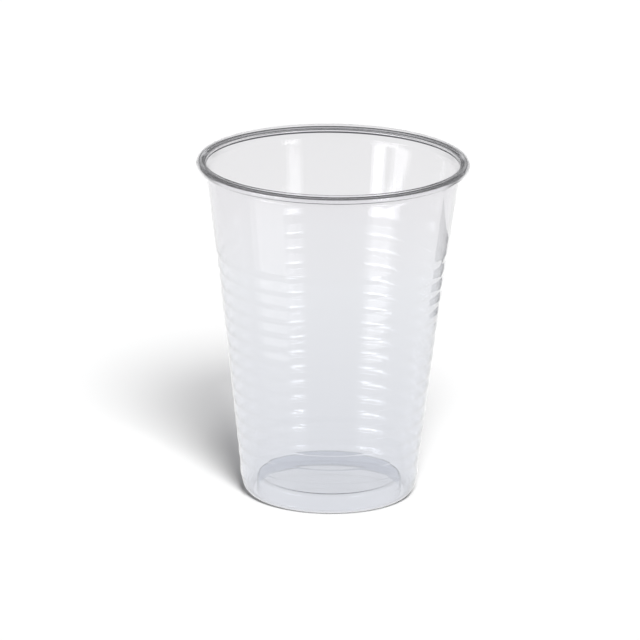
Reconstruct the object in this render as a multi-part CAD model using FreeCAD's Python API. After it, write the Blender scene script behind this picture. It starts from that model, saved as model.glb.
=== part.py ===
import FreeCAD, Part
import math
import os

# A clear disposable drinking cup, thermoformed in one piece from one sheet.
# Frame: +Z is the cup's axis and points out of the mouth. Z = 0 is the foot
# plane, and the axis meets it at the origin. All sizes are in millimetres.

# Overall
rim_radius = 35.15          # outermost radius of the rolled lip
cup_height = 89.2           # foot plane to the top of the lip
sheet = 0.22                # thickness of the formed sheet

# Rolled lip: the sheet turns over outwards and down, and ends open
roll_radius = 1.20          # outside radius of the roll
roll_end = -75.0            # where the roll ends, in degrees below the outermost point

# Flare that opens the wall towards the lip
flare_drop = 3.35           # its lower end, below the top of the lip
lip_overhang = 2.62         # how far the lip stands out from the wall there

# Plain upper wall, drawn in towards the bottom
plain_drop = 23.55          # its lower end, below the top of the lip
plain_taper = 0.1256        # loss of radius per height

# Shoulder between the plain wall and the rings
shoulder_height = 2.20
shoulder_in = 0.58          # how far it sets the wall in

# Rings: upright bands, each set in from the one above by a sloping ramp
ring_count = 15
ring_step_in = 0.451        # loss of radius from one band to the next
band_share = 0.56           # part of a ring's height that is the upright band
band_taper = 0.030          # loss of radius per height on a band

# Heel and foot
last_band_z = 4.90          # lower end of the last band
heel_in = 0.55              # how far the heel slope draws in below that band
heel_round = 2.85           # rounding from the wall into the foot
foot_width = 1.10           # width of the flat ring the cup stands on

# Raised floor
floor_z = 4.57              # upper face above the foot plane

NODE = "cup"

flare_z = cup_height - flare_drop
flare_radius = rim_radius - lip_overhang
plain_z = cup_height - plain_drop
plain_radius = flare_radius - plain_taper * (flare_z - plain_z)
band_top_z = plain_z - shoulder_height
band_top_radius = plain_radius - shoulder_in
ring_pitch = (band_top_z - last_band_z) / ring_count


def on_circle(centre, radius, degrees):
    t = math.radians(degrees)
    return (centre[0] + radius * math.cos(t), centre[1] + radius * math.sin(t))


def band_ends(number):
    # Upper and lower end of one band on the outside, as (radius, height).
    top_r = band_top_radius - number * ring_step_in
    top_z = band_top_z - number * ring_pitch
    height = ring_pitch * band_share
    if number == ring_count - 1:
        height = ring_pitch
    return (top_r, top_z), (top_r - band_taper * height, top_z - height)


def moved_in(before, point, after):
    # The point moved to the inner side of the sheet, on the corner's bisector.
    normals = []
    for a, b in ((before, point), (point, after)):
        dr = b[0] - a[0]
        dz = b[1] - a[1]
        length = math.hypot(dr, dz)
        normals.append((dz / length, -dr / length))
    nr = (normals[0][0] + normals[1][0]) / 2.0
    nz = (normals[0][1] + normals[1][1]) / 2.0
    scale = sheet / (nr * nr + nz * nz)
    return (point[0] + nr * scale, point[1] + nz * scale)


# The roll, seen in section: one round from the wall over the top to its edge
roll_centre = (rim_radius - roll_radius, cup_height - roll_radius)
roll_hollow = roll_radius - sheet
roll_half = roll_end / 2.0
roll_outside = [on_circle(roll_centre, roll_radius, a) for a in (180, 135, 90, 45, 0, roll_half, roll_end)]
roll_inside = [on_circle(roll_centre, roll_hollow, a) for a in (roll_end, roll_half, 0, 90, 180)]

# The outside of the wall, from the flare down to the heel
wall_outside = [roll_inside[-1], (flare_radius, flare_z), (plain_radius, plain_z)]
for i in range(ring_count):
    wall_outside += band_ends(i)
heel_radius = wall_outside[-1][0] - heel_in
wall_outside.append((heel_radius, heel_round))

# The inside runs at the thickness of the sheet, and passes the rings in one
# plain taper that touches that thickness at the top of every band
first_band = 3
last_band = first_band + 2 * (ring_count - 1)
guide = wall_outside[:first_band + 1] + wall_outside[last_band:]
wall_inside = [roll_outside[0]]
for i in range(1, len(guide) - 1):
    wall_inside.append(moved_in(guide[i - 1], guide[i], guide[i + 1]))

# Heel, foot ring, riser and raised floor
heel_centre = (heel_radius - heel_round, heel_round)
heel_outside = [on_circle(heel_centre, heel_round, a) for a in (0, -30, -60, -90)]
heel_inside = [on_circle(heel_centre, heel_round - sheet, a) for a in (0, -45, -90)]
foot_inner_radius = heel_centre[0] - foot_width
floor_radius = foot_inner_radius + sheet
base_outside = [(foot_inner_radius, 0.0), (foot_inner_radius, floor_z - sheet)]
base_outside.append((0.0, floor_z - sheet))
base_inside = [(0.0, floor_z), (floor_radius, floor_z), (floor_radius, sheet)]

# One closed section: out over the lip, down the outside, under the foot to
# the axis, then back over the floor and up the inside
section = list(roll_outside)
section += roll_inside
section += wall_outside[1:-1]
section += heel_outside
section += base_outside
section += base_inside
section += list(reversed(heel_inside))
section += list(reversed(wall_inside[1:]))

points = [FreeCAD.Vector(r, 0, z) for r, z in section]
points.append(points[0])
outline = Part.makePolygon(points)
face = Part.Face(outline)
cup = face.revolve(FreeCAD.Vector(0, 0, 0), FreeCAD.Vector(0, 0, 1), 360)
if cup.ShapeType != "Solid":
    cup = Part.Solid(cup.Shells[0])

os.makedirs("parts", exist_ok=True)
cup.exportStep("parts/" + NODE + ".step")

box = cup.BoundBox
print("cup valid:", cup.isValid(), "closed:", cup.Shells[0].isClosed())
print("width %.2f depth %.2f height %.2f mm" % (box.XLength, box.YLength, box.ZLength))
print("volume %.1f mm3, faces %d" % (cup.Volume, len(cup.Faces)))
print("floor radius %.2f, foot flat %.2f to %.2f" % (floor_radius, foot_inner_radius, heel_centre[0]))
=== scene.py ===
# %% [markdown]
# # A clear plastic drinking cup
#
# The real object is one sheet of clear polypropylene, warmed and drawn over a
# mould. Everything on it comes from that one sheet: the rolled lip, the plain
# upper wall, the stacked rings, the rounded heel and the raised floor.
#
# The whole cup is round about one axis, so it can be made as a potter would
# make it, by turning one section. A stack of cones would show a seam wherever
# two of them meet, and the light would break there. One continuous section has
# no seams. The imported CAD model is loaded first, because it says how wide and
# how tall the cup is and where it stands.

import math

import bmesh
import bpy
from mathutils import Matrix, Vector


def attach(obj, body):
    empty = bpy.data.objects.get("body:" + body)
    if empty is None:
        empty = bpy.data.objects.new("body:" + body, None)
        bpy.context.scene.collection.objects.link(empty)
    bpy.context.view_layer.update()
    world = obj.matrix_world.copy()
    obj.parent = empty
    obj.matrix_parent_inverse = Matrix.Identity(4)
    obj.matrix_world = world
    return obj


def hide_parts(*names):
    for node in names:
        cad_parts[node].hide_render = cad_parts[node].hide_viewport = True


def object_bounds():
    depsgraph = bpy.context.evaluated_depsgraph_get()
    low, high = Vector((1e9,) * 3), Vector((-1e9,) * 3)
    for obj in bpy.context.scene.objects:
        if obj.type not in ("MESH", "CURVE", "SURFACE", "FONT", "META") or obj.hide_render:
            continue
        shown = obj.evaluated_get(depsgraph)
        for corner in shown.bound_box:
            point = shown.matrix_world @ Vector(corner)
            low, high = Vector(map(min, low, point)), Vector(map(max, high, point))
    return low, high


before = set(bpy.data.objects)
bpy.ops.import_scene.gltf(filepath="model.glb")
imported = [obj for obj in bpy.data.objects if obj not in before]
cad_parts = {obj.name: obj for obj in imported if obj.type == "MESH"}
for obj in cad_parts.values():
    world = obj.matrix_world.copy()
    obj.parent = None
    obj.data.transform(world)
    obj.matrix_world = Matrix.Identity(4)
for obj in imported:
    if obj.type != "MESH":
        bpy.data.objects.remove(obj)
cad_low, cad_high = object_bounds()
MM = 0.001
rim_radius = (cad_high.x - cad_low.x) / 2 / MM
cup_height = cad_high.z / MM
print("lip radius %.2f mm, height %.2f mm" % (rim_radius, cup_height))

# %% [markdown]
# ## Sizes
#
# A designer of thin packaging sets a few sizes and lets the rest follow. The
# sheet's thickness matters most for the looks: at a fifth of a millimetre both
# faces of the sheet catch the light close together, which is what tells thin
# plastic from thick glass.

# %% Sizes of the wall, the rings and the foot, in millimetres
sheet = 0.22
flare_drop = 3.35
lip_overhang = 2.62
plain_drop = 23.40
plain_taper = 0.1256
shoulder_height = 2.08
shoulder_in = 0.58
ring_count = 15
ring_step_in = 0.451
band_share = 0.70
band_taper = 0.030
last_band_z = 4.90
heel_in = 0.55
heel_round = 2.85
foot_width = 1.10
floor_z = 4.57

flare_z = cup_height - flare_drop
flare_radius = rim_radius - lip_overhang
plain_z = cup_height - plain_drop
plain_radius = flare_radius - plain_taper * (flare_z - plain_z)
band_top_z = plain_z - shoulder_height
band_top_radius = plain_radius - shoulder_in
ring_pitch = (band_top_z - last_band_z) / ring_count
print("ring pitch %.3f mm" % ring_pitch)

# %% [markdown]
# ## The rings
#
# Each ring is an upright band and a slope that sets the next band in. It could
# be cut into a finished wall with a displacement, but then the widths of band
# and slope would be lost in a texture. Here both ends of every band are worked
# out, so the widths can be read and changed.

# %% Upper and lower end of one band
def band_ends(number):
    top_r = band_top_radius - number * ring_step_in
    top_z = band_top_z - number * ring_pitch
    height = ring_pitch * (1.0 if number == ring_count - 1 else band_share)
    return (top_r, top_z), (top_r - band_taper * height, top_z - height)


last_band_radius = band_ends(ring_count - 1)[1][0]
print("the last band ends at radius %.2f mm" % last_band_radius)

# %% [markdown]
# ## The outside of the wall as a line with rounded corners
#
# The section is written as a list of corners, each with the radius that rounds
# it. This is how a mould is drawn, and it keeps each size readable. The line
# starts under the floor, goes down the riser, under the foot, up the wall and
# over the lip.
#
# On the real cup the outer edge of a ring is soft, because the sheet was
# stretched over it, while the inner corner between two rings was pressed into
# the mould and is tight. The first two radii below say that.

# %% Corners of the outside, from under the floor up to the flare
ring_edge_round = 7.0
ring_corner_round = 0.60
floor_corner_round = 0.90
foot_edge_round = 0.36
last_band_round = 1.6
shoulder_round = 3.0
flare_round = 2.0

heel_slope = heel_in / (last_band_z - heel_round)
heel_corner = last_band_radius - heel_slope * last_band_z
foot_inner = last_band_radius - heel_in - heel_round - foot_width

corners = [
    (0.0, floor_z - sheet, 0.0),
    (foot_inner, floor_z - sheet, floor_corner_round),
    (foot_inner, 0.0, foot_edge_round),
    (heel_corner, 0.0, heel_round),
    (last_band_radius, last_band_z, last_band_round),
]
for number in reversed(range(ring_count)):
    (top_r, top_z), (low_r, low_z) = band_ends(number)
    if number < ring_count - 1:
        corners.append((low_r, low_z, ring_edge_round))
    corners.append((top_r, top_z, ring_corner_round))
corners.append((plain_radius, plain_z, shoulder_round))
corners.append((flare_radius, flare_z, flare_round))
print(len(corners), "corners from the floor to the flare")

# %% [markdown]
# ## Where the lip sits
#
# The lip is the same sheet, rolled outwards and down. It stiffens the mouth and
# gives the drinker a round edge. Forming draws the wall out thin but hardly
# stretches the lip, so the lip stays about as thick as the raw sheet. That
# thick round of clear plastic draws the dark line round the mouth: with a thin
# sheet the line is as fine as a hair. The wall bends into the roll a little
# below the roll's middle, and that bend is rounded like every other corner.

# %% Middle and radius of the roll
roll_radius = 1.20
lip_sheet = 0.745
lip_bend_drop = 0.55
lip_bend_round = 2.0

lip_z = cup_height - roll_radius
lip_r = rim_radius - roll_radius
hollow_r = lip_r - roll_radius + lip_sheet
corners += [(hollow_r, lip_z - lip_bend_drop, lip_bend_round), (hollow_r, lip_z, 0.0)]
print("the roll is centred at radius %.2f mm, height %.2f mm" % (lip_r, lip_z))

# %% [markdown]
# ## From corners to a smooth line
#
# Each corner is cut back along its two sides and an arc is laid between. The
# straight runs get points too: without them the shading would lean across a
# whole band, and the narrow reflections would go soft. A bevel on the finished
# mesh could round the corners as well, but one width would have to serve for
# soft and tight corners alike.
#
# Every point also carries its direction of travel, which the next steps use to
# find the other face of the sheet.

# %% Points along a straight run
straight_step = 0.60


def unit(a, b):
    d = (b[0] - a[0], b[1] - a[1])
    n = math.hypot(*d)
    return (d[0] / n, d[1] / n), n


def straight(a, b):
    d, n = unit(a, b)
    steps = max(1, round(n / straight_step))
    return [((a[0] + d[0] * n * i / steps, a[1] + d[1] * n * i / steps), d)
            for i in range(steps + 1)]


print("first band:", len(straight(*band_ends(0))), "points")

# %% Straight runs and rounded corners in one line
arc_step = 0.16
fewest_arc_steps = 2


def turned_by(d, angle):
    return (d[0] * math.cos(angle) - d[1] * math.sin(angle),
            d[0] * math.sin(angle) + d[1] * math.cos(angle))


def walk(corners):
    line = []
    start = corners[0][:2]
    for before, corner, after in zip(corners, corners[1:], corners[2:]):
        d1, n1 = unit(before, corner)
        d2, n2 = unit(corner, after)
        turn = math.atan2(d1[0] * d2[1] - d1[1] * d2[0], d1[0] * d2[0] + d1[1] * d2[1])
        cut = corner[2] * math.tan(abs(turn) / 2)
        end = (corner[0] - d1[0] * cut, corner[1] - d1[1] * cut)
        line += straight(start, end)
        reach = corner[2] * math.copysign(1.0, turn)
        centre = (end[0] - d1[1] * reach, end[1] + d1[0] * reach)
        steps = max(fewest_arc_steps, round(corner[2] * abs(turn) / arc_step))
        for i in range(1, steps):
            d = turned_by(d1, turn * i / steps)
            line.append(((centre[0] + d[1] * reach, centre[1] - d[0] * reach), d))
        start = (corner[0] + d2[0] * cut, corner[1] + d2[1] * cut)
    return line + straight(start, corners[-1][:2])


wall = walk(corners)
print(len(wall), "points along the outside of the wall")

# %% [markdown]
# ## Two faces of one sheet
#
# The inner face is the outside moved by the thickness of the sheet, square to
# the line. A Solidify modifier could do this on a surface, but moving the line
# itself keeps the thickness exact in the tight corners, and lets it grow where
# the real one does. It grows softly from the flare up to the roll, so that no
# kink shows as a third line under the lip.

# %% Thickness of the wall at a height
thickening_below_flare = 1.0


def thickness(z):
    low = flare_z - thickening_below_flare
    share = min(1.0, max(0.0, (z - low) / (lip_z - low)))
    return sheet + (lip_sheet - sheet) * share * share * (3 - 2 * share)


wall = [(p, d, thickness(p[1])) for p, d in wall]
print("wall %.2f mm thick, lip %.2f mm" % (wall[0][2], wall[-1][2]))

# %% [markdown]
# ## The roll
#
# The roll runs over the top and down the far side, and stays open below. Its
# outside is a true circle. Past the outermost point the sheet thins towards its
# edge, because that part was pulled round last.

# %% Roll the sheet over
roll_start = 180.0
roll_end = -75.0
thin_from = 20.0
lip_edge_sheet = 0.34
roll_step = arc_step * 0.6


def roll():
    line = []
    steps = math.ceil(roll_radius * math.radians(roll_start - roll_end) / roll_step)
    for i in range(1, steps + 1):
        degrees = roll_start - (roll_start - roll_end) * i / steps
        share = min(1.0, max(0.0, (thin_from - degrees) / (thin_from - roll_end)))
        thick = lip_sheet + (lip_edge_sheet - lip_sheet) * share
        inner = roll_radius - thick
        a = math.radians(degrees)
        point = (lip_r + inner * math.cos(a), lip_z + inner * math.sin(a))
        line.append((point, (math.sin(a), -math.cos(a)), thick))
    return line


outside = wall + roll()
print(len(outside) - len(wall), "points round the roll")

# %% [markdown]
# ## The cut edge closes the section
#
# The roll ends where the cup was cut from the sheet. A small half round joins
# the two faces there. Without it the mesh would be open, and light would pass
# through the plastic as if it had only one side.

# %% Round the edge and close the section
edge_steps = 6

inside = [(p[0] - d[1] * t, p[1] + d[0] * t) for p, d, t in outside]
edge_p, edge_d, edge_t = outside[-1]
edge_half = edge_t / 2
edge_mid = (edge_p[0] - edge_d[1] * edge_half, edge_p[1] + edge_d[0] * edge_half)
edge = []
for i in range(1, edge_steps):
    a = math.pi * i / edge_steps
    along = edge_half * math.sin(a)
    across = -edge_half * math.cos(a)
    edge.append((edge_mid[0] + edge_d[0] * along - edge_d[1] * across,
                 edge_mid[1] + edge_d[1] * along + edge_d[0] * across))
section = [p for p, d, t in outside] + edge + inside[::-1]
print(len(section), "points in the closed section")

# %% [markdown]
# ## Which faces are the cut edge
#
# The cut edge looks different from the moulded faces: it is sawn and matt, and its
# colour is painted dark to draw the dark line below the lip. Its faces get the
# cup's second material. They could be picked by their number, but that would go
# wrong as soon as a step count changed. Their place says it better: past the end
# of the roll, and close to its middle line.

# %% Find a face of the cut edge by its place
edge_reach = 0.12


def is_cut_edge(point):
    away_r = math.hypot(point.x, point.y) / MM - edge_mid[0]
    away_z = point.z / MM - edge_mid[1]
    past_end = away_r * edge_d[0] + away_z * edge_d[1]
    return past_end > -edge_reach and math.hypot(away_r, away_z) < edge_t


print("the cut edge is at radius %.2f mm, height %.2f mm" % edge_mid)

# %% [markdown]
# ## Turn the section
#
# Blender's Spin does what the lathe does. Both ends of the section lie on the
# axis, so the points there are merged into one afterwards. A Screw modifier
# would turn it too, but the finished mesh is wanted here, to sort its faces.

# %% Spin the section into the cup
turn_steps = 160
merge_within = 1e-7


def turned(name):
    bm = bmesh.new()
    verts = [bm.verts.new((r * MM, 0.0, z * MM)) for r, z in section]
    edges = [bm.edges.new(pair) for pair in zip(verts, verts[1:])]
    bmesh.ops.spin(bm, geom=verts + edges, cent=(0, 0, 0), axis=(0, 0, 1),
                   angle=2 * math.pi, steps=turn_steps, use_merge=True)
    bmesh.ops.remove_doubles(bm, verts=bm.verts, dist=merge_within)
    for face in bm.faces:
        face.material_index = 1 if is_cut_edge(face.calc_center_median()) else 0
    bmesh.ops.recalc_face_normals(bm, faces=bm.faces)
    for face in bm.faces:
        face.smooth = True
    return linked(name, bm)


def linked(name, bm):
    mesh = bpy.data.meshes.new(name)
    bm.to_mesh(mesh)
    bm.free()
    thing = bpy.data.objects.new(name, mesh)
    bpy.context.scene.collection.objects.link(thing)
    return thing


cup = turned("cup_sheet")
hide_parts("cup")
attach(cup, "root")
print("cup faces:", len(cup.data.polygons))

# %% [markdown]
# ## Small helpers for materials
#
# A node and its settings read best on one line. A colour ramp needs a stop for
# each of its colours, and the two that it starts with stay at its ends.

# %% Node, ramp and empty material
def new_node(tree, kind, **inputs):
    node = tree.nodes.new(kind)
    for name, value in inputs.items():
        node.inputs[name.replace("_", " ")].default_value = value
    return node


def maths(tree, operation):
    node = new_node(tree, "ShaderNodeMath")
    node.operation = operation
    return node


def ramp(tree, stops):
    node = new_node(tree, "ShaderNodeValToRGB")
    elements = node.color_ramp.elements
    elements[0].color = (*stops[0][1], 1.0)
    elements[1].color = (*stops[-1][1], 1.0)
    for place, colour in stops[1:-1]:
        elements.new(place).color = (*colour, 1.0)
    return node


def empty_material(name):
    mat = bpy.data.materials.new(name)
    mat.use_nodes = True
    mat.node_tree.nodes.clear()
    return mat


print("helpers ready")

# %% [markdown]
# ## The tint of thin polypropylene
#
# Thin polypropylene is clear but never quite colourless. The tint is lightest round
# the upper rings, a little greyer in the plain wall and the lip, and darker and
# cooler towards the foot. A volume inside the sheet could tint it as well, but it
# would render slowly and be lost in the exported model. A ramp along the height
# sets the tint.

# %% Tint along the height, in millimetres above the foot
wall_tints = (
    (0.0, (0.885, 0.897, 0.930)),
    (9.0, (0.885, 0.895, 0.923)),
    (62.0, (0.944, 0.950, 0.968)),
    (70.0, (0.940, 0.938, 0.953)),
    (cup_height, (0.925, 0.920, 0.935)),
)


def tint_by_height(tree, place, plastic):
    link = tree.links.new
    parts = new_node(tree, "ShaderNodeSeparateXYZ")
    up_wall = new_node(tree, "ShaderNodeMapRange", From_Min=0.0, From_Max=cup_height * MM)
    tint = ramp(tree, [(height / cup_height, colour) for height, colour in wall_tints])
    link(place.outputs["Object"], parts.inputs[0])
    link(parts.outputs["Z"], up_wall.inputs["Value"])
    link(up_wall.outputs["Result"], tint.inputs["Fac"])
    link(tint.outputs["Color"], plastic.inputs["Base Color"])


print(len(wall_tints), "tints from foot to lip")

# %% [markdown]
# ## Haze and waves
#
# The plastic has a faint haze, and the drawing leaves shallow waves in it, which
# is why a reflection in the wall wavers. A soft noise in the roughness gives the
# haze its uneven look, and a very low bump gives the waves. The waves are far
# too shallow to change the outline, so they need no geometry.

# %% Uneven haze and shallow waves
haze_scale = 60.0
least_haze = 0.02
most_haze = 0.07
wave_scale = 90.0
wave_height = 0.0004
wave_strength = 0.05


def haze_and_waves(tree, place, plastic):
    link = tree.links.new
    haze = new_node(tree, "ShaderNodeTexNoise", Scale=haze_scale, Detail=3.0, Roughness=0.55)
    haze_range = new_node(tree, "ShaderNodeMapRange", To_Min=least_haze, To_Max=most_haze)
    waves = new_node(tree, "ShaderNodeTexNoise", Scale=wave_scale, Detail=1.0, Roughness=0.4)
    bump = new_node(tree, "ShaderNodeBump", Strength=wave_strength, Distance=wave_height)
    link(place.outputs["Object"], haze.inputs["Vector"])
    link(place.outputs["Object"], waves.inputs["Vector"])
    link(haze.outputs["Fac"], haze_range.inputs["Value"])
    link(haze_range.outputs["Result"], plastic.inputs["Roughness"])
    link(waves.outputs["Fac"], bump.inputs["Height"])
    link(bump.outputs["Normal"], plastic.inputs["Normal"])


print("haze %.2f to %.2f" % (least_haze, most_haze))

# %% [markdown]
# ## Light through the sheet
#
# Glass in Cycles stops the lamps' light at the first face, so a thin cup would
# throw a black shadow. Caustics could carry the light through, but they are slow
# and grainy. Here the rays that light the table pass straight on, dimmed a
# little at each face, and the camera still sees the real refraction.
#
# A sheet seen on edge lets less through, as a real one does. That is why the
# shadow is darker where the light grazes the wall.

# %% Let the lamps' light pass
passed_colour = (0.78, 0.78, 0.785, 1.0)
grazing_power = 5.0


def light_passes(tree, plastic):
    link = tree.links.new
    ray = new_node(tree, "ShaderNodeLightPath")
    slant = new_node(tree, "ShaderNodeLayerWeight", Blend=0.5)
    steep = maths(tree, "POWER")
    steep.inputs[1].default_value = grazing_power
    open_share = new_node(tree, "ShaderNodeMapRange", To_Min=1.0, To_Max=0.0)
    light_ray = maths(tree, "MAXIMUM")
    through = maths(tree, "MULTIPLY")
    passing = new_node(tree, "ShaderNodeBsdfTransparent", Color=passed_colour)
    mix = new_node(tree, "ShaderNodeMixShader")
    out = new_node(tree, "ShaderNodeOutputMaterial")
    link(slant.outputs["Facing"], steep.inputs[0])
    link(steep.outputs[0], open_share.inputs["Value"])
    link(ray.outputs["Is Shadow Ray"], light_ray.inputs[0])
    link(ray.outputs["Is Diffuse Ray"], light_ray.inputs[1])
    link(light_ray.outputs[0], through.inputs[0])
    link(open_share.outputs["Result"], through.inputs[1])
    link(through.outputs[0], mix.inputs[0])
    link(plastic.outputs[0], mix.inputs[1])
    link(passing.outputs[0], mix.inputs[2])
    link(mix.outputs[0], out.inputs["Surface"])


print("each face passes %.0f%% of the light" % (100 * passed_colour[0]))

# %% [markdown]
# ## The clear material
#
# Principled with full transmission gives the clear sheet, with the refraction of
# polypropylene. The three steps above are joined on it.

# %% Clear plastic material
polypropylene_ior = 1.49


def clear_plastic():
    mat = empty_material("clear_polypropylene")
    tree = mat.node_tree
    plastic = new_node(tree, "ShaderNodeBsdfPrincipled",
                       IOR=polypropylene_ior, Transmission_Weight=1.0)
    place = new_node(tree, "ShaderNodeTexCoord")
    tint_by_height(tree, place, plastic)
    haze_and_waves(tree, place, plastic)
    light_passes(tree, plastic)
    return mat


cup.data.materials.append(clear_plastic())
print("clear plastic:", len(cup.data.materials[0].node_tree.nodes), "nodes")

# %% [markdown]
# ## The sawn edge, painted dark
#
# Where the cup was cut free, the plastic is rough and matt. Its dark grey colour is
# painted shade: it draws the thin dark line that shows below the lip. A fine noise
# in its colour gives the marks of the cut.

# %% Material of the cut edge, with its painted dark line
saw_scale = 900.0
edge_roughness = 0.55
edge_clearness = 0.35
# Painted shade: these dark greys draw the dark line below the lip.
edge_line_painted_dark = (0.05, 0.052, 0.06)
edge_line_painted_light = (0.20, 0.205, 0.23)


def cut_edge():
    mat = bpy.data.materials.new("cut_edge_painted_dark")
    mat.use_nodes = True
    tree = mat.node_tree
    rough = tree.nodes["Principled BSDF"]
    rough.inputs["Roughness"].default_value = edge_roughness
    rough.inputs["Transmission Weight"].default_value = edge_clearness
    place = new_node(tree, "ShaderNodeTexCoord")
    saw = new_node(tree, "ShaderNodeTexNoise", Scale=saw_scale, Detail=2.0)
    shade = ramp(tree, [(0.0, edge_line_painted_dark), (1.0, edge_line_painted_light)])
    tree.links.new(place.outputs["Object"], saw.inputs["Vector"])
    tree.links.new(saw.outputs["Fac"], shade.inputs["Fac"])
    tree.links.new(shade.outputs["Color"], rough.inputs["Base Color"])
    return mat


cup.data.materials.append(cut_edge())
print("faces of the cut edge:", sum(f.material_index for f in cup.data.polygons))

# %% [markdown]
# ## The table
#
# The cup stands on a white table, as for a catalogue picture. To the lamps and
# the camera the table is plain matt paint, so it takes the shadow. Seen in the
# plastic it is an even white, or else the cup's own shadow would darken the
# whole of the wall. A mirror image on the cup also shows the table's faint
# polish.
#
# Cycles calls a slightly rough refraction glossy as well, so the mix for
# transmission comes last and has the last word.

# %% Paint of the table
paint_colour = (0.90, 0.90, 0.90, 1.0)
polish_colour = (0.45, 0.45, 0.45, 1.0)
polish_roughness = 0.10
table_white = 0.89


def table_paint():
    mat = empty_material("white_table")
    tree = mat.node_tree
    link = tree.links.new
    paint = new_node(tree, "ShaderNodeBsdfDiffuse", Color=paint_colour)
    plain = new_node(tree, "ShaderNodeEmission", Strength=table_white)
    polish = new_node(tree, "ShaderNodeBsdfGlossy", Color=polish_colour,
                      Roughness=polish_roughness)
    shiny = new_node(tree, "ShaderNodeAddShader")
    ray = new_node(tree, "ShaderNodeLightPath")
    seen_through = new_node(tree, "ShaderNodeMixShader")
    reflected = new_node(tree, "ShaderNodeMixShader")
    out = new_node(tree, "ShaderNodeOutputMaterial")
    link(plain.outputs[0], shiny.inputs[0])
    link(polish.outputs[0], shiny.inputs[1])
    link(ray.outputs["Is Glossy Ray"], reflected.inputs[0])
    link(paint.outputs[0], reflected.inputs[1])
    link(shiny.outputs[0], reflected.inputs[2])
    link(ray.outputs["Is Transmission Ray"], seen_through.inputs[0])
    link(reflected.outputs[0], seen_through.inputs[1])
    link(plain.outputs[0], seen_through.inputs[2])
    link(seen_through.outputs[0], out.inputs["Surface"])
    return mat


print("table white %.2f" % table_white)

# %% Table top
table_half = 2.6
table_cells = 8

bm = bmesh.new()
bmesh.ops.create_grid(bm, x_segments=table_cells, y_segments=table_cells, size=table_half)
table = linked("table_top", bm)
table.data.materials.append(table_paint())
print("table %.1f m wide" % (2 * table_half))

# %% [markdown]
# ## The room
#
# Clear plastic shows little of itself. What is seen on it is the room, bent in
# the roll and mirrored in the wall. The room is bright low down and dim above,
# and the dim part is the dark line round the mouth. Behind the cup it is bright
# only close to the table, and again in one strip, which the raised floor
# mirrors. At both sides the bright part reaches a little higher.
#
# To the camera the room is plain white, and matt surfaces get a weak even fill,
# which keeps the shadow from going black. An image of a studio could light the
# cup too, but a few ramps say plainly what each part of the room does.

# %% Levels of the room by direction
front_low, front_high = 0.35, 0.85
front_bright, front_dim = 0.92, 0.17
side_lift = 0.35
back_levels = ((0.0, 0.85), (0.02, 0.80), (0.10, 0.10), (0.22, 0.10),
               (0.25, 0.70), (0.33, 0.70), (0.36, 0.10), (1.0, 0.06))
behind_lean = 0.7
behind_from, behind_to = 0.45, 0.90


def room_level(tree):
    link = tree.links.new
    place = new_node(tree, "ShaderNodeTexCoord")
    parts = new_node(tree, "ShaderNodeSeparateXYZ")
    sideways = maths(tree, "ABSOLUTE")
    lowered = maths(tree, "MULTIPLY_ADD")
    lowered.inputs[1].default_value = -side_lift
    front = new_node(tree, "ShaderNodeMapRange", From_Min=front_low, From_Max=front_high,
                     To_Min=front_bright, To_Max=front_dim)
    back = ramp(tree, [(height, (level, level, level)) for height, level in back_levels])
    lean = maths(tree, "MULTIPLY_ADD")
    lean.inputs[1].default_value = behind_lean
    behind = new_node(tree, "ShaderNodeMapRange", From_Min=behind_from, From_Max=behind_to)
    blend = new_node(tree, "ShaderNodeMix")
    link(place.outputs["Generated"], parts.inputs[0])
    link(parts.outputs["X"], sideways.inputs[0])
    link(sideways.outputs[0], lowered.inputs[0])
    link(parts.outputs["Z"], lowered.inputs[2])
    link(lowered.outputs[0], front.inputs["Value"])
    link(parts.outputs["Z"], back.inputs["Fac"])
    link(parts.outputs["Z"], lean.inputs[0])
    link(parts.outputs["Y"], lean.inputs[2])
    link(lean.outputs[0], behind.inputs["Value"])
    link(behind.outputs["Result"], blend.inputs["Factor"])
    link(front.outputs["Result"], blend.inputs["A"])
    link(back.outputs["Color"], blend.inputs["B"])
    return blend.outputs["Result"]


print("room %.2f bright in front, %.2f dim above" % (front_bright, front_dim))

# %% Dim room with a white view for the camera
room_colour = (0.98, 0.99, 1.0, 1.0)
white_colour = (1.0, 1.0, 1.0, 1.0)
fill_level = 0.10


def dim_room():
    world = bpy.data.worlds.new("dim_room")
    world.use_nodes = True
    # Sampled as a lamp, the room would throw a second shadow.
    world.cycles.sampling_method = "NONE"
    tree = world.node_tree
    tree.nodes.clear()
    link = tree.links.new
    ray = new_node(tree, "ShaderNodeLightPath")
    room = new_node(tree, "ShaderNodeBackground", Color=room_colour)
    fill = new_node(tree, "ShaderNodeBackground", Color=room_colour, Strength=fill_level)
    white = new_node(tree, "ShaderNodeBackground", Color=white_colour, Strength=1.0)
    matt = new_node(tree, "ShaderNodeMixShader")
    mix = new_node(tree, "ShaderNodeMixShader")
    out = new_node(tree, "ShaderNodeOutputWorld")
    link(room_level(tree), room.inputs["Strength"])
    link(ray.outputs["Is Diffuse Ray"], matt.inputs[0])
    link(room.outputs[0], matt.inputs[1])
    link(fill.outputs[0], matt.inputs[2])
    link(ray.outputs["Is Camera Ray"], mix.inputs[0])
    link(matt.outputs[0], mix.inputs[1])
    link(white.outputs[0], mix.inputs[2])
    link(mix.outputs[0], out.inputs["Surface"])
    return world


bpy.context.scene.world = dim_room()
print("room nodes:", len(bpy.context.scene.world.node_tree.nodes))

# %% [markdown]
# ## Key lamp
#
# One broad lamp at the front right lights the table and throws the shadow back
# to the left. A sun does this evenly over the whole table, and its wide angle
# makes the shadow soft far from the cup and firm at its foot. Its mirror image
# is left out of the plastic, where it would only be a white spot.

# %% Key lamp
key_azimuth = 10.5
key_elevation = 45.0
key_angle = 18.0
key_level = 1.04


def toward(azimuth, elevation):
    a, e = math.radians(azimuth), math.radians(elevation)
    return Vector((math.sin(a) * math.cos(e), -math.cos(a) * math.cos(e), math.sin(e)))


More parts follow.
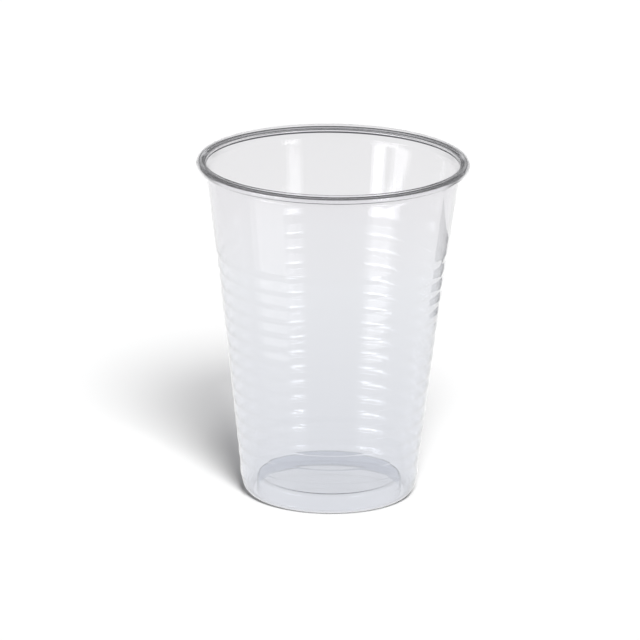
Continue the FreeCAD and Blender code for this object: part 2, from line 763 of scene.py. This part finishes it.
key = bpy.data.lights.new("key_lamp", "SUN")
key.angle = math.radians(key_angle)
key.energy = key_level * math.pi / math.sin(math.radians(key_elevation))
key_lamp = bpy.data.objects.new("key_lamp", key)
key_lamp.rotation_mode = "QUATERNION"
key_lamp.rotation_quaternion = toward(key_azimuth, key_elevation).to_track_quat("Z", "Y")
key_lamp.visible_glossy = False
key_lamp.visible_transmission = False
bpy.context.scene.collection.objects.link(key_lamp)
print("key lamp energy %.2f" % key.energy)

# %% [markdown]
# ## Upright panels
#
# Soft panels stand at both sides near the table. Each shows in the cup as an
# upright bright stripe, which the rings break into short dashes. They could
# light the table too, but then there would be several shadows, so they shine
# only on the plastic.
#
# A photographer keeps the panels out of the picture. Seen from behind, these
# would stand right behind the clear wall, so a panel shines only along a path
# that has been mirrored at least once.

# %% A panel that shows only as a reflection
def only_mirrored(light):
    light.use_nodes = True
    tree = light.node_tree
    ray = new_node(tree, "ShaderNodeLightPath")
    mirrored = maths(tree, "GREATER_THAN")
    tree.links.new(ray.outputs["Glossy Depth"], mirrored.inputs[0])
    tree.links.new(mirrored.outputs[0], tree.nodes["Emission"].inputs["Strength"])


def panel(name, azimuth, distance, width, low, high, level):
    light = bpy.data.lights.new(name, "AREA")
    light.shape = "RECTANGLE"
    light.size = width
    light.size_y = high - low
    light.energy = level * width * (high - low) * math.pi
    only_mirrored(light)
    lamp = bpy.data.objects.new(name, light)
    away = toward(azimuth, 0)
    lamp.location = Vector((0, 0, (low + high) / 2)) + away * distance
    lamp.rotation_mode = "QUATERNION"
    lamp.rotation_quaternion = away.to_track_quat("Z", "Y")
    lamp.visible_camera = False
    lamp.visible_diffuse = False
    bpy.context.scene.collection.objects.link(lamp)


print("panels shine on the plastic only")

# %% [markdown]
# ## Panels with a soft edge
#
# The cloth of a softbox is brighter in its middle. Two panels, one behind the
# other and a little wider, give each stripe a bright core with softer flanks.
#
# Near panels fill the upright bands, which mirror the table just before the cup.
# Low panels farther off make the dashes on the rounded edges. The top panels
# show in the plain wall and inside the mouth.

# %% Panels at the right and the left
core_wide, core_share = 0.75, 0.62
edge_wide, edge_share = 1.20, 0.40
edge_further = 0.004


def standing(name, azimuth, spread, low, high, distance, level):
    # Azimuth and spread in degrees as seen from the cup, the rest in metres.
    for part, wide, share, further in (("edge", edge_wide, edge_share, edge_further),
                                       ("core", core_wide, core_share, 0.0)):
        width = 2 * distance * math.tan(math.radians(spread * wide / 2))
        panel(name + "_" + part, azimuth, distance + further, width, low, high, level * share)


standing("right_glow", 43.5, 23, 0.0, 0.045, 0.13, 0.95)
standing("right_panel", 40.5, 17, 0.0, 0.050, 0.40, 4.8)
standing("right_top_panel", 37.5, 14, 0.050, 0.070, 0.40, 1.8)
standing("left_glow", -56.5, 37, 0.0, 0.045, 0.13, 0.75)
standing("left_panel", -53.5, 31, 0.0, 0.048, 0.40, 5.0)
standing("left_top_panel", -44.6, 12.5, 0.048, 0.072, 0.40, 4.4)
standing("far_left_top_panel", -68.5, 19, 0.048, 0.072, 0.40, 2.3)

# %% [markdown]
# ## A strip of black card
#
# A photographer of clear things also uses black card, to draw a dark line where
# the wall would be lost against white. A low strip behind the cup at the right
# gives the dark patch on the wall there. It shows only in the plastic's mirror
# and throws no shadow.

# %% Black card
card_black = (0.02, 0.02, 0.02, 1.0)
card_left = (0.082, 0.134)
card_right = (0.152, 0.080)
card_height = 0.020


def black_card(name):
    bm = bmesh.new()
    bm.faces.new([bm.verts.new(corner) for corner in (
        (*card_left, 0.0), (*card_right, 0.0),
        (*card_right, card_height), (*card_left, card_height))])
    card = linked(name, bm)
    mat = bpy.data.materials.new("black_card")
    mat.use_nodes = True
    mat.node_tree.nodes["Principled BSDF"].inputs["Base Color"].default_value = card_black
    card.data.materials.append(mat)
    card.visible_camera = False
    card.visible_diffuse = False
    card.visible_shadow = False
    card.visible_transmission = False


black_card("right_back_strip")
print("card %.0f mm tall" % (card_height / MM))

# %% [markdown]
# ## Camera
#
# The picture was taken with a long lens from a little above the lip: the near
# and far edges of the mouth are almost parallel curves. The camera is tipped
# by less than a degree, as a hand-held or quickly levelled camera is. The lens
# is given in pixels of the picture, because that is how it can be measured, and
# is turned into millimetres on the sensor.

# %% Camera at the photograph's angle
lens_pixels = 7734.0
picture_pixels = 640.0
look_down = math.radians(16.866)
tip = math.radians(0.731)
away = 2.0
aim = Vector((-2.853, 0.0, 45.944)) * MM

forward = Vector((0.0, math.cos(look_down), -math.sin(look_down)))
right = Vector((1.0, 0.0, 0.0))
up = right.cross(forward)
cam_right = right * math.cos(tip) + up * math.sin(tip)
cam_up = up * math.cos(tip) - right * math.sin(tip)
camera_data = bpy.data.cameras.new("camera")
camera_data.sensor_width = 36.0
camera_data.lens = lens_pixels / picture_pixels * camera_data.sensor_width
camera_data.clip_start = 0.05
camera_data.clip_end = 20.0
camera = bpy.data.objects.new("camera", camera_data)
facing = Matrix((cam_right, cam_up, -forward)).transposed().to_4x4()
camera.matrix_world = Matrix.Translation(aim - forward * away) @ facing
bpy.context.scene.collection.objects.link(camera)
bpy.context.scene.camera = camera
print("lens %.0f mm" % camera_data.lens)

# %% [markdown]
# ## Colours
#
# The colours are shown as they are, without a film look.

# %% Colour handling
bpy.context.scene.view_settings.view_transform = "Standard"
